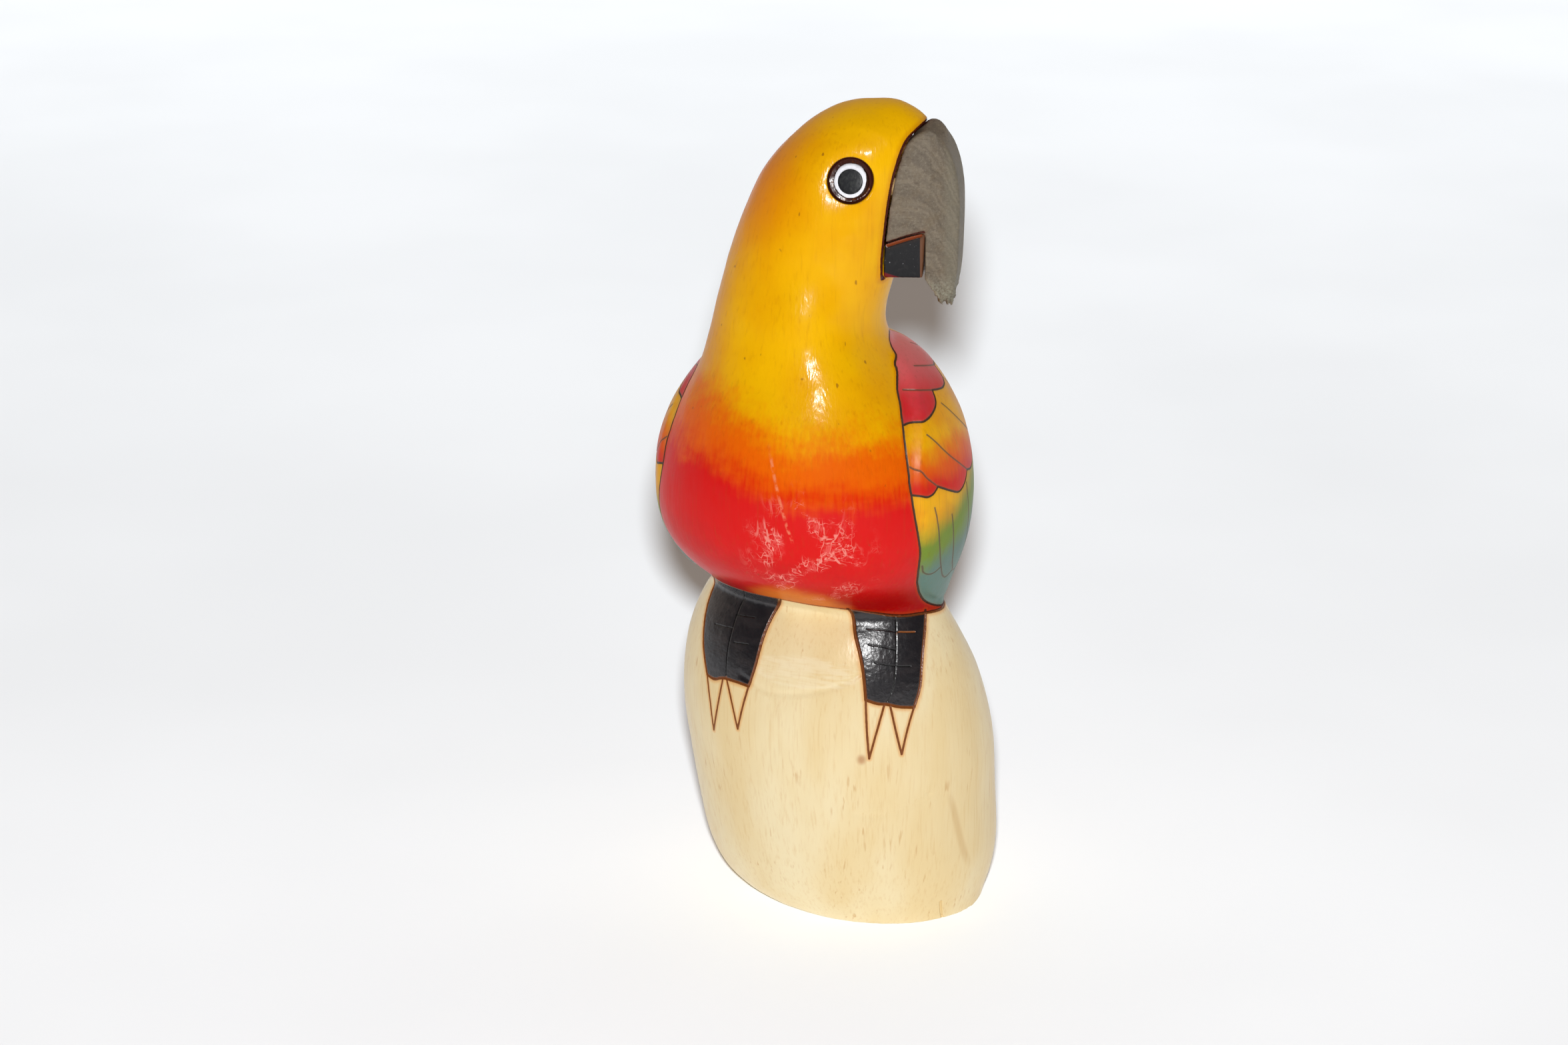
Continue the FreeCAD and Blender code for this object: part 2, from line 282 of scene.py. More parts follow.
# Low ridges that fill out the breast, the top of the head and the beak: start, end, reach, height.
SWELLS = [
    ((-5.0, -40.5, 187.0), (3.0, -41.5, 179.0), 18.0, 1.9),
    ((12.0, -13.2, 247.0), (20.5, -11.6, 243.5), 10.0, 1.7),
]
BEAK_SWELL = ((20.6, -11.5, 243.5), (23.4, -11.0, 243.0), 6.5, 1.6)

# Eye: a painted button in a turned recess.
EYE_REACH = 17.7
EYE_Z = 230.4
EYE_SIDE = 16.4
EYE_RISE = math.radians(16.0)
EYE_RECESS_R = 6.6
EYE_RECESS_DEPTH = 1.15
EYE_RECESS_SLOPE = 0.7
EYE_LAYER_HALF = 6.0
EYE_STEPS = 72
# Discs round the eye that are evened out: margin past the recess, rounds of smoothing.
EYE_DISCS = [(0.9, 32), (8.0, 45)]
EYE_BUTTON_R = 4.95
EYE_PUPIL_R = 3.5
# Half section of the button: radius, height along the eye's axis.
EYE_PROFILE = [
    (0.0, 0.2),
    (1.6, 0.19),
    (2.9, 0.15),
    (3.4, 0.1),
    (3.55, 0.0),
    (3.75, 0.06),
    (4.3, 0.02),
    (4.65, -0.15),
    (4.88, -0.5),
    (4.93, -0.9),
    (4.93, -2.0),
    (4.93, -4.6),
    (4.6, -4.9),
    (0.0, -4.9),
]

# Tail drawings on its back: x from the tail's middle line, height.
TAIL_X = -11.0
TAIL_QUILL = [(0.0, 147.0), (0.0, 26.0)]
TAIL_FEATHERS = [128.0, 110.0, 92.0, 74.0, 56.0]
TAIL_FEATHER_EDGE = [(0.0, -9.0), (4.0, -6.0), (8.5, 3.0), (9.5, 10.0)]

# Marks of the wood and of wear, with a knife's flat cut painted paler as a highlight: centres, or a point on
# a streak.
KNOT = (10.9, -39.0, 59.6)
BROWN_STREAK = (34.0, -20.0, 32.0)
KNIFE_FACET_SHEEN = (-7.0, -40.0, 84.6)
COPPER_SCALE = (21.0, -36.0, 96.0)
THIN_PAINT = (-9.5, -35.0, 104.5)
SCRATCHES = (-1.0, -52.0, 126.0)
SCAR_TOP = (-9.0, 0.0, 148.0)
SCAR_MIDDLE = (0.0, 0.0, 143.0)
DULL_BREAST = (5.0, -50.0, 153.0)


# ---------------------------------------------------------------- drawing on the surface


def smooth_curve(points, closed=False, steps=20):
    p = np.array(points, float)
    count = len(p)
    spans = count if closed else count - 1
    out = []
    for i in range(spans):
        if closed:
            a, b, c, d = (p[(i + k) % count] for k in (-1, 0, 1, 2))
        else:
            a, b, c, d = p[max(i - 1, 0)], p[i], p[i + 1], p[min(i + 2, count - 1)]
        for s in np.arange(steps) / steps:
            cubic = (3.0 * b - a - 3.0 * c + d) * s**3
            square = (2.0 * a - 5.0 * b + 4.0 * c - d) * s**2
            out.append(0.5 * (2.0 * b + (c - a) * s + square + cubic))
    if not closed:
        out.append(p[-1])
    return np.array(out)


def wing_axes(side):
    outward = Vector((side * math.cos(WING_ANGLE), math.sin(WING_ANGLE), 0.0))
    along = Vector((-side * math.sin(WING_ANGLE), math.cos(WING_ANGLE), 0.0))
    return outward, along


def wing_chart(side):
    outward, along = wing_axes(side)
    return lambda t, z: (WING_MIDDLE + along * t + outward * AXIS_RAY + UP * z, -outward)


def front_chart(x, z):
    return Vector((x, -FRONT_RAY, z)), Vector((0.0, 1.0, 0.0))


def back_chart(x, z):
    return Vector((TAIL_X + x, FRONT_RAY, z)), Vector((0.0, -1.0, 0.0))


def waist_chart(angle, z):
    turn = math.radians(angle)
    outward = Vector((math.sin(turn), -math.cos(turn), 0.0))
    return WAIST_CENTRE + outward * AXIS_RAY + UP * z, -outward


def cheek_chart(side):
    outward = HEAD_CHEEK * side
    return lambda reach, z: (NECK + HEAD_FORWARD * reach + outward * CHEEK_RAY + UP * z, -outward)


def drop_on(tree, chart, curve, spacing=0.12):
    """The curve where its rays meet the surface, as evenly spaced points."""
    hits = []
    for u, z in curve:
        origin, direction = chart(u, z)
        hit = tree.ray_cast(origin * MM, direction)[0]
        if hit is not None:
            hits.append(np.array(hit) / MM)
    line = [hits[0]]
    for a, b in zip(hits, hits[1:]):
        count = max(1, math.ceil(np.linalg.norm(b - a) / spacing))
        line += [a + (b - a) * k / count for k in range(1, count + 1)]
    return np.array(line)


def draw(tree, chart, strokes):
    return np.concatenate([drop_on(tree, chart, smooth_curve(s)) for s in strokes])


def distances(points, line):
    """Distance from each point to the nearest point of the line, at most FAR."""
    kd = KDTree(len(line))
    for i, p in enumerate(line):
        kd.insert(p, i)
    kd.balance()
    return np.array([min(FAR, kd.find(p)[2]) for p in points])


def inside(polygon, u, z):
    """Which of the points (u, z) lie in the polygon."""
    result = np.zeros(len(u), bool)
    for (u0, z0), (u1, z1) in zip(polygon, np.roll(polygon, -1, axis=0)):
        crosses = (z0 > z) != (z1 > z)
        rise = z1 - z0 if z1 != z0 else 1e-9
        result ^= crosses & (u < u0 + (u1 - u0) * (z - z0) / rise)
    return result


# ---------------------------------------------------------------- mesh work


def new_object(name, mesh):
    obj = bpy.data.objects.new(name, mesh)
    bpy.context.scene.collection.objects.link(obj)
    return obj


def remeshed(nodes, voxel, smoothing):
    """One smooth closed surface over the given CAD nodes."""
    joined = bmesh.new()
    for node in nodes:
        joined.from_mesh(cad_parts[node].data)
    mesh = bpy.data.meshes.new("joined")
    joined.to_mesh(mesh)
    joined.free()
    source = new_object("joined", mesh)
    remesh = source.modifiers.new("remesh", "REMESH")
    remesh.mode = "VOXEL"
    remesh.voxel_size = voxel * MM
    soften = source.modifiers.new("soften", "SMOOTH")
    soften.factor = 0.5
    soften.iterations = smoothing
    evaluated = source.evaluated_get(bpy.context.evaluated_depsgraph_get())
    surface = bmesh.new()
    surface.from_mesh(evaluated.to_mesh())
    evaluated.to_mesh_clear()
    bpy.data.objects.remove(source)
    bpy.data.meshes.remove(mesh)
    return surface


def places(surface):
    return np.array([v.co for v in surface.verts]) / MM


def vertices_near(surface, line, reach):
    near = distances(places(surface), line) < reach
    return [v for v, n in zip(surface.verts, near) if n]


def relax(surface, chosen, rounds):
    axes = {"use_axis_x": True, "use_axis_y": True, "use_axis_z": True}
    for _ in range(rounds):
        bmesh.ops.smooth_vert(surface, verts=chosen, factor=0.5, **axes)


def refine(surface, line, reaches):
    """Halves the mesh near the line, once for each reach."""
    for reach in reaches:
        near = distances(places(surface), line) < reach
        surface.verts.index_update()
        edges = [e for e in surface.edges if near[e.verts[0].index] and near[e.verts[1].index]]
        bmesh.ops.subdivide_edges(surface, edges=edges, cuts=1, use_grid_fill=True)
        bmesh.ops.triangulate(surface, faces=[f for f in surface.faces if len(f.verts) > 4])
    relax(surface, vertices_near(surface, line, reaches[0]), FINE_ROUNDS)


def relax_disc(surface, centre, axis, radius, rounds):
    """Evens out the surface inside a disc across the axis."""
    chosen = []
    for v in surface.verts:
        offset = v.co / MM - centre
        height = offset.dot(axis)
        if abs(height) < EYE_LAYER_HALF and (offset - axis * height).length < radius:
            chosen.append(v)
    relax(surface, chosen, rounds)


def soften_along(surface, line, reach, rounds):
    """Fills and rounds a sharp fold along a line."""
    relax(surface, vertices_near(surface, line, reach), rounds)


def lift(surface, heights):
    """Moves each vertex outwards by its height."""
    surface.normal_update()
    moves = [v.normal * (height * MM) for v, height in zip(surface.verts, heights)]
    for v, move in zip(surface.verts, moves):
        v.co += move


def swell(surface, start, end, reach, height):
    """Raises the surface around a straight ridge."""
    start = Vector(start)
    ridge = Vector(end) - start
    heights = []
    for v in surface.verts:
        offset = v.co / MM - start
        share = min(1.0, max(0.0, offset.dot(ridge) / ridge.length_squared))
        distance = (offset - ridge * share).length
        level = math.cos(0.5 * math.pi * min(1.0, distance / reach)) ** 2
        heights.append(height * level)
    lift(surface, heights)


def groove(distance, half, depth):
    """Depth of a burned groove at a distance from its middle."""
    inner = np.clip(distance / half, 0.0, GROOVE_EDGE) / GROOVE_EDGE
    return depth * (1.0 - inner**2) ** 2


def ripple(surface, amount, size):
    """Slight waviness left by hand carving: a broad wave and a finer, lower one."""
    heights = []
    for v in surface.verts:
        level = noise.noise(v.co / (size * MM)) + 0.4 * noise.noise(v.co / (0.4 * size * MM))
        heights.append(level * amount)
    lift(surface, heights)


def triangles(surface):
    """The finished surface as points and triangles; the surface is freed."""
    bmesh.ops.triangulate(surface, faces=surface.faces)
    surface.verts.index_update()
    points = places(surface)
    faces = [[v.index for v in f.verts] for f in surface.faces]
    surface.free()
    return points, faces


def mesh_from(name, points, faces, fields):
    """A smooth mesh with one float attribute for each field."""
    mesh = bpy.data.meshes.new(name)
    mesh.from_pydata((points * MM).tolist(), [], faces)
    for field, values in fields.items():
        layer = mesh.attributes.new(field, "FLOAT", "POINT")
        layer.data.foreach_set("value", np.asarray(values, np.float32))
    mesh.shade_smooth()
    mesh.update()
    return mesh


def cut_piece(name, points, faces, fields, labels, label, seats):
    """The faces with one label as a closed piece. Each cut runs inwards to the neighbour's seat."""
    owner = {}
    for face, face_label in zip(faces, labels):
        for a, b in zip(face, face[1:] + face[:1]):
            owner[(a, b)] = face_label
    kept = [face for face, face_label in zip(faces, labels) if face_label == label]
    seat_index = {other: len(points) + i for i, other in enumerate(seats)}
    closing = []
    for face in kept:
        for a, b in zip(face, face[1:] + face[:1]):
            other = owner.get((b, a), label)
            if other != label:
                closing.append([b, a, seat_index[other]])
    all_points = np.concatenate([points, np.array([list(p) for p in seats.values()])])
    used = sorted({i for face in kept + closing for i in face})
    place = {old: new for new, old in enumerate(used)}
    own_faces = [[place[i] for i in face] for face in kept + closing]
    own_fields = {}
    for field, values in fields.items():
        extended = np.concatenate([values, np.full(len(seats), FAR if field in ("burn", "etch") else 0.0)])
        own_fields[field] = extended[used]
    obj = new_object(name, mesh_from(name, all_points[used], own_faces, own_fields))
    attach(obj, "root")
    return obj


# ---------------------------------------------------------------- shaders


def srgb(r, g, b):
    parts = [c / 255.0 for c in (r, g, b)]
    return tuple(c / 12.92 if c <= 0.04045 else ((c + 0.055) / 1.055) ** 2.4 for c in parts) + (1.0,)


def add_node(tree, kind, **settings):
    made = tree.nodes.new(kind)
    for key, value in settings.items():
        setattr(made, key, value)
    return made


class Shader:
    """A node material, built socket by socket, with places in millimetres."""

    def __init__(self, name):
        self.material = bpy.data.materials.new(name)
        self.material.use_nodes = True
        self.tree = self.material.node_tree
        self.surface = self.tree.nodes["Principled BSDF"]
        coordinates = self.node("ShaderNodeTexCoord").outputs["Object"]
        self.place = self.stretch(coordinates, (1000.0, 1000.0, 1000.0))

    def node(self, kind, **settings):
        return add_node(self.tree, kind, **settings)

    def feed(self, socket, value):
        if isinstance(value, bpy.types.NodeSocket):
            self.tree.links.new(value, socket)
        else:
            socket.default_value = value

    def stretch(self, vector, factors):
        made = self.node("ShaderNodeVectorMath", operation="MULTIPLY")
        self.feed(made.inputs[0], vector)
        self.feed(made.inputs[1], factors)
        return made.outputs[0]

    def offset(self, origin):
        made = self.node("ShaderNodeVectorMath", operation="SUBTRACT")
        self.feed(made.inputs[0], self.place)
        self.feed(made.inputs[1], tuple(origin))
        return made.outputs[0]

    def along(self, direction, origin=(0.0, 0.0, 0.0)):
        """Distance from the origin along a direction."""
        made = self.node("ShaderNodeVectorMath", operation="DOT_PRODUCT")
        self.feed(made.inputs[0], self.offset(origin))
        self.feed(made.inputs[1], tuple(direction))
        return made.outputs["Value"]

    def gap(self, centre, factors=(1.0, 1.0, 1.0)):
        """Distance from a point, with the axes weighted."""
        made = self.node("ShaderNodeVectorMath", operation="LENGTH")
        self.feed(made.inputs[0], self.stretch(self.offset(centre), factors))
        return made.outputs["Value"]

    def math(self, operation, a, b=0.0):
        made = self.node("ShaderNodeMath", operation=operation)
        self.feed(made.inputs[0], a)
        self.feed(made.inputs[1], b)
        return made.outputs[0]

    def times(self, *levels):
        product = levels[0]
        for level in levels[1:]:
            product = self.math("MULTIPLY", product, level)
        return product

    def step(self, value, low, high, to_low=0.0, to_high=1.0):
        """Runs smoothly from to_low at low to to_high at high."""
        made = self.node("ShaderNodeMapRange", interpolation_type="SMOOTHSTEP")
        self.feed(made.inputs["Value"], value)
        made.inputs["From Min"].default_value = low
        made.inputs["From Max"].default_value = high
        made.inputs["To Min"].default_value = to_low
        made.inputs["To Max"].default_value = to_high
        return made.outputs["Result"]

    def noise(self, size, factors=(1.0, 1.0, 1.0), detail=2.0, rough=0.5, warp=0.0):
        """Soft noise with features about as long as size."""
        made = self.node("ShaderNodeTexNoise")
        scaled = tuple(f / size for f in factors)
        self.feed(made.inputs["Vector"], self.stretch(self.place, scaled))
        made.inputs["Scale"].default_value = 1.0
        made.inputs["Detail"].default_value = detail
        made.inputs["Roughness"].default_value = rough
        made.inputs["Distortion"].default_value = warp
        return made.outputs["Fac"]

    def drift(self, amount, size, factors=(1.0, 1.0, 1.0), detail=2.0):
        """Soft noise about zero, as wide as amount from end to end."""
        level = self.noise(size, factors, detail=detail)
        return self.math("MULTIPLY", self.math("SUBTRACT", level, 0.5), amount)

    def hairs(self, size, factors, width):
        """Thin wandering scratches, where soft noise crosses its middle."""
        level = self.noise(size, factors, detail=2.0, warp=1.2)
        return self.step(self.math("ABSOLUTE", self.math("SUBTRACT", level, 0.5)), width, 0.2 * width)

    def field(self, name):
        return self.node("ShaderNodeAttribute", attribute_name=name).outputs["Fac"]

    def mix(self, factor, a, b):
        """Runs from colour a to colour b. A colour is a socket or an sRGB triple."""
        made = self.node("ShaderNodeMix", data_type="RGBA")
        self.feed(made.inputs["Factor"], factor)
        for name, colour in (("A", a), ("B", b)):
            self.feed(made.inputs[name], srgb(*colour) if isinstance(colour, tuple) else colour)
        return made.outputs["Result"]

    def tint(self, colour, other, level, start, end, share=1.0):
        """Adds a share of another colour as the level runs from start to end."""
        return self.mix(self.step(level, start, end, 0.0, share), colour, other)

    def bands(self, level, colour, steps):
        """Runs from one colour to the next wherever the level falls through a step."""
        for high, low, other in steps:
            colour = self.tint(colour, other, level, high, low)
        return colour

    def grained(self, colour, dark, stretch=0.05):
        """Darker upright fibres that show through a stain."""
        grain = self.noise(0.9, (1.0, 1.0, stretch), detail=3.0)
        return self.tint(colour, dark, grain, 0.52, 0.8, 0.2)

    def burned(self, colour, line, halo, halo_share, field="burn", share=1.0):
        """Paints the pen's line and the scorched edge beside it over a colour."""
        level = self.math("ADD", self.field(field), self.drift(0.5, 1.2))
        scorched = self.mix(self.step(level, 4.5, 0.8, 0.0, halo_share), colour, halo)
        return self.mix(self.step(level, 1.35, 0.85, 0.0, share), scorched, line)

    def done(self, colour, roughness, height, height_mm, coat=0.0, coat_roughness=0.1, specular=0.08):
        self.feed(self.surface.inputs["Base Color"], colour)
        self.feed(self.surface.inputs["Roughness"], roughness)
        self.feed(self.surface.inputs["Coat Weight"], coat)
        self.surface.inputs["Specular IOR Level"].default_value = specular
        self.surface.inputs["Coat Roughness"].default_value = coat_roughness
        bump = self.node("ShaderNodeBump")
        bump.inputs["Distance"].default_value = height_mm * MM
        self.feed(bump.inputs["Height"], height)
        self.feed(self.surface.inputs["Normal"], bump.outputs["Normal"])
        self.feed(self.surface.inputs["Coat Normal"], bump.outputs["Normal"])
        return self.material


def lacquer_relief(shader):
    """Fine upright grain under the lacquer with shallow dents."""
    grain = shader.noise(0.8, (1.0, 1.0, 0.08), detail=3.0)
    dents = shader.noise(4.5, (1.0, 1.0, 0.7), detail=2.0)
    return shader.math("ADD", shader.times(grain, 0.4), shader.times(dents, 0.6))


def stump_wood():
    s = Shader("stump_wood")
    fibres = s.noise(0.8, (1.0, 1.0, 0.05), detail=4.0, rough=0.6)
    wood = bare_stump_wood(s, fibres)
    wood = s.burned(wood, (126, 68, 22), (226, 150, 58), 0.6)
    leg = s.field("leg")
    colour = s.mix(leg, wood, black_legs(s))
    leather = s.noise(1.2, (0.8, 0.8, 1.0), detail=3.0)
    relief = s.math("ADD", lacquer_relief(s), s.times(leather, leg))
    roughness = s.step(fibres, 0.3, 0.8, 0.4, 0.52)
    coat = s.step(leg, 0.0, 1.0, 0.4, 1.0)
    return s.done(colour, roughness, relief, 0.12, coat=coat, coat_roughness=0.26)


def bare_stump_wood(s, fibres):
    """Pale wood: clouds, fibres, flecks, a slanting brown streak, a knife's flat cut painted paler as a
    highlight, and a pin knot.
    """
    clouds = s.noise(20.0, (1.0, 1.0, 0.35), detail=3.0)
    wood = s.tint((243, 226, 184), (236, 211, 158), clouds, 0.3, 0.7)
    wood = s.tint(wood, (220, 182, 122), fibres, 0.48, 0.75, 0.34)
    dashes = s.noise(1.3, (1.0, 1.0, 0.12), detail=2.0)
    patches = s.step(s.noise(14.0, detail=2.0), 0.45, 0.62)
    wood = s.mix(s.times(s.step(dashes, 0.61, 0.74, 0.0, 0.55), patches), wood, (206, 158, 98))
    slant = s.math("ABSOLUTE", s.along((1.0, 0.0, 0.13), (BROWN_STREAK[0], 0.0, BROWN_STREAK[2])))
    span = s.gap(BROWN_STREAK, (0.0, 0.0, 1.0))
    streak = s.times(s.step(slant, 1.0, 0.2), s.step(span, 15.0, 8.0, 0.0, 0.4))
    wood = s.mix(streak, wood, (206, 166, 108))
    # Painted highlight: a knife's flat cut on the front of the stump, painted paler in broken patches as if
    # it caught the light.
    facet_sheen = s.step(s.gap(KNIFE_FACET_SHEEN, (0.058, 0.0, 0.21)), 1.05, 0.85)
    sheen_breaks = s.step(s.noise(2.0, (0.3, 1.0, 2.0), detail=3.0), 0.35, 0.6)
    wood = s.mix(s.times(facet_sheen, sheen_breaks, 0.45), wood, (248, 234, 200))
    knot = s.gap(KNOT, (1.0, 0.3, 0.8))
    return s.tint(wood, (184, 122, 74), knot, 1.9, 0.3, 0.7)


def black_legs(s):
    """Black stain with one scale burned through to copper brown."""
    clouds = s.noise(3.0, (0.5, 0.5, 1.0), detail=3.0)
    stain = s.tint((26, 24, 28), (40, 36, 38), clouds, 0.4, 0.7)
    black = s.burned(stain, (10, 9, 10), (18, 16, 18), 0.3, field="etch")
    scale = s.step(s.gap(COPPER_SCALE, (0.28, 0.0, 1.0)), 1.1, 0.9)
    copper = s.times(scale, s.step(s.field("etch"), 1.3, 0.8))
    black = s.mix(copper, black, (136, 78, 34))
    return s.burned(black, (116, 62, 26), (30, 22, 20), 0.4)


def body_paint():
    s = Shader("body_paint")
    z = s.along(UP)
    paint = stained_body(s, z)
    paint = scorched_eye_rings(s, paint)
    paint = worn_breast(s, paint)
    paint = s.burned(paint, (72, 24, 12), (176, 70, 10), 0.4)
    dull = s.gap(DULL_BREAST, (0.04, 0.02, 0.085))
    coat = s.times(s.step(dull, 0.75, 1.25, 0.0, 0.32), s.step(z, 104.0, 116.0, 0.4, 1.0))
    return s.done(paint, 0.5, lacquer_relief(s), 0.2, coat=coat, coat_roughness=0.17, specular=0.03)


def stained_body(s, z):
    """Amber head and neck that runs through orange into a red breast, with painted shade on the bird's right
    side and under the belly.
    """
    x = s.along((1.0, 0.0, 0.0))
    reach = s.along(HEAD_FORWARD, NECK)
    clouds = s.drift(15.0, 12.0, (1.0, 1.0, 2.0), 4.0)
    uneven = s.math("ADD", clouds, s.drift(8.0, 1.1, (1.0, 1.0, 0.03), 3.0))
    tilt = s.step(x, -6.0, -36.0, 0.0, -8.0)
    level = s.math("ADD", s.math("ADD", z, tilt), uneven)
    amber = s.mix(s.step(s.noise(22.0, detail=3.0), 0.35, 0.7), (244, 184, 1), (237, 168, 1))
    back_of_head = s.times(s.step(reach, 15.0, -12.0), s.step(z, 196.0, 232.0), 0.85)
    amber = s.mix(back_of_head, amber, (226, 118, 2))
    # Painted shade: the neck and head on the bird's right side, turned from the light, are painted a darker
    # amber.
    right_side_shade = s.times(s.step(x, -26.0, -42.0), s.step(z, 150.0, 165.0), 0.6)
    amber = s.mix(right_side_shade, amber, (216, 132, 2))
    paint = s.bands(level, amber, [(168.5, 152.0, (234, 100, 3)), (152.0, 137.5, (217, 8, 4))])
    paint = s.tint(paint, (180, 3, 3), level, 128.0, 108.0, 0.65)
    # Painted shade: the red darkens under the belly towards the waist.
    paint = s.tint(paint, (142, 1, 1), z, 115.0, 106.0, 0.7)
    thin = s.gap(THIN_PAINT, (0.066, 0.02, 0.095))
    thin = s.math("ADD", thin, s.times(s.noise(6.0, detail=2.0), 0.3))
    paint = s.tint(paint, (222, 122, 40), thin, 1.3, 0.7, 0.85)
    paint = s.grained(paint, (170, 66, 3), 0.04)
    freckles = s.noise(1.7, (1.0, 1.0, 0.7), detail=0.0)
    return s.tint(paint, (130, 66, 20), freckles, 0.83, 0.9, 0.6)


def scorched_eye_rings(s, paint):
    for side in (1, -1):
        ring = s.gap(eye_centre(side))
        paint = s.mix(s.step(ring, EYE_RECESS_R + 0.2, EYE_RECESS_R - 0.15), paint, (62, 26, 18))
        scorch = s.step(s.noise(2.2, detail=2.0), 0.5, 0.7)
        glow = s.times(s.step(ring, EYE_RECESS_R - 0.2, EYE_RECESS_R - 1.0), scorch, 0.5)
        paint = s.mix(glow, paint, (150, 84, 22))
    return paint


def worn_breast(s, paint):
    """Rubbed patches with fine scratches in them, and one long scar."""
    rubbed = s.gap(SCRATCHES, (0.05, 0.02, 0.045))
    scrape = s.math("MAXIMUM", s.hairs(4.2, (1.0, 1.0, 0.3), 0.03), s.hairs(3.0, (0.5, 0.5, 1.0), 0.022))
    spots = s.times(s.step(rubbed, 1.1, 0.4), s.step(s.noise(9.0, detail=2.0), 0.47, 0.6))
    haze = s.step(s.noise(3.0, (1.0, 1.0, 0.5), detail=5.0, rough=0.8), 0.48, 0.62)
    paint = s.mix(s.times(spots, haze, 0.4), paint, (236, 120, 112))
    paint = s.mix(s.times(spots, scrape, 0.6), paint, (246, 176, 160))
    across = s.math("ABSOLUTE", s.along((1.0, 0.0, 0.28), SCAR_TOP))
    span = s.gap(SCAR_MIDDLE, (0.0, 0.0, 0.062))
    facing = s.step(s.along((0.0, 1.0, 0.0)), -35.0, -42.0)
    broken = s.step(s.noise(1.6, detail=3.0), 0.42, 0.6)
    scar = s.times(s.step(across, 0.7, 0.1), s.step(span, 1.0, 0.6), facing, broken, 0.5)
    return s.mix(scar, paint, (240, 160, 120))


def wing_paint(side):
    """Rose coverts, a middle row from yellow to red, and primaries from yellow to teal."""
    s = Shader("wing_paint_left" if side > 0 else "wing_paint_right")
    t = s.along(wing_axes(side)[1], WING_MIDDLE)
    z = s.along(UP)
    uneven = s.math("ADD", s.drift(8.0, 9.0, detail=3.0), s.drift(4.0, 1.2, (1.0, 1.0, 0.05), 3.0))
    level = s.math("ADD", z, uneven)
    rose = s.mix(s.step(s.noise(7.0), 0.35, 0.7), (208, 38, 44), (202, 54, 62))
    rose = s.tint(rose, (222, 112, 116), z, 166.0, 178.0, 0.9)
    yellow = s.mix(s.step(s.noise(8.0), 0.35, 0.7), (238, 174, 2), (230, 156, 3))
    middle = s.bands(level, yellow, [(158.0, 149.0, (226, 94, 3)), (151.0, 143.0, (208, 26, 10))])
    lean = s.math("SUBTRACT", level, s.times(t, 0.6))
    primary = s.bands(lean, yellow, [(154.0, 141.0, (112, 136, 40)), (139.0, 129.0, (92, 122, 112))])
    row = s.field("row")
    paint = s.mix(s.step(row, 0.4, 0.6), rose, middle)
    paint = s.mix(s.step(row, 1.4, 1.6), paint, primary)
    paint = s.grained(paint, (120, 70, 30))
    paint = s.burned(paint, (92, 74, 58), (140, 110, 60), 0.12, field="etch", share=0.8)
    paint = s.burned(paint, (72, 52, 38), (140, 110, 60), 0.15)
    return s.done(paint, 0.5, lacquer_relief(s), 0.12, coat=0.32, coat_roughness=0.34)


def tail_paint():
    s = Shader("tail_paint")
    level = s.math("ADD", s.along(UP), s.drift(14.0, 9.0, detail=3.0))
    orange = (132.0, 112.0, (228, 110, 6))
    yellow = (108.0, 84.0, (230, 166, 6))
    green = (80.0, 58.0, (112, 136, 40))
    teal = (56.0, 36.0, (92, 122, 112))
    paint = s.bands(level, (206, 30, 14), [orange, yellow, green, teal])
    paint = s.grained(paint, (120, 70, 30))
    paint = s.burned(paint, (72, 52, 38), (140, 100, 50), 0.25)
    return s.done(paint, 0.5, lacquer_relief(s), 0.12, coat=0.5, coat_roughness=0.28)


def beak_wood():
    """Bare grey-brown wood whose growth bands bow with the ridge of the beak."""
    s = Shader("beak_wood")
    reach = s.along(HEAD_FORWARD, NECK)
    z = s.along(UP)
    past_bend = s.math("MAXIMUM", s.math("SUBTRACT", reach, 33.0), 0.0)
    bow = s.times(s.math("POWER", past_bend, 2.0), 0.1)
    wander = s.times(s.noise(6.0, detail=4.0, rough=0.6), 11.0)
    rings = s.math("ADD", s.math("ADD", z, bow), wander)
    bands = s.math("SINE", s.times(rings, 2.1))
    wide = s.math("SINE", s.times(rings, 0.63))
    pores = s.noise(0.7, detail=4.0, rough=0.75)
    mottle = s.noise(3.2, detail=3.0, rough=0.6)
    fibres = s.noise(1.2, (0.5, 0.5, 2.2), detail=4.0, rough=0.7)
    wood = s.mix(s.step(bands, -0.8, 1.0, 0.0, 0.4), (124, 113, 97), (92, 82, 71))
    wood = s.tint(wood, (88, 79, 68), wide, -0.4, 1.0, 0.4)
    wood = s.tint(wood, (116, 101, 80), mottle, 0.45, 0.7, 0.5)
    wood = s.tint(wood, (74, 64, 56), fibres, 0.52, 0.7, 0.55)
    wood = s.tint(wood, (146, 136, 118), pores, 0.48, 0.72, 0.55)
    wood = s.tint(wood, (80, 72, 62), pores, 0.42, 0.3, 0.5)
    wood = s.tint(wood, (126, 122, 106), reach, 41.5, 44.5, 0.4)
    frayed = s.times(s.step(z, 203.0, 196.0, 0.0, 0.6), s.step(pores, 0.4, 0.6))
    wood = s.mix(frayed, wood, (150, 150, 132))
    wood = s.burned(wood, (70, 26, 16), (104, 72, 50), 0.3)
    relief = s.math("ADD", pores, s.times(bands, 0.15))
    return s.done(wood, 0.62, relief, 0.14, coat=0.1, coat_roughness=0.35, specular=0.2)


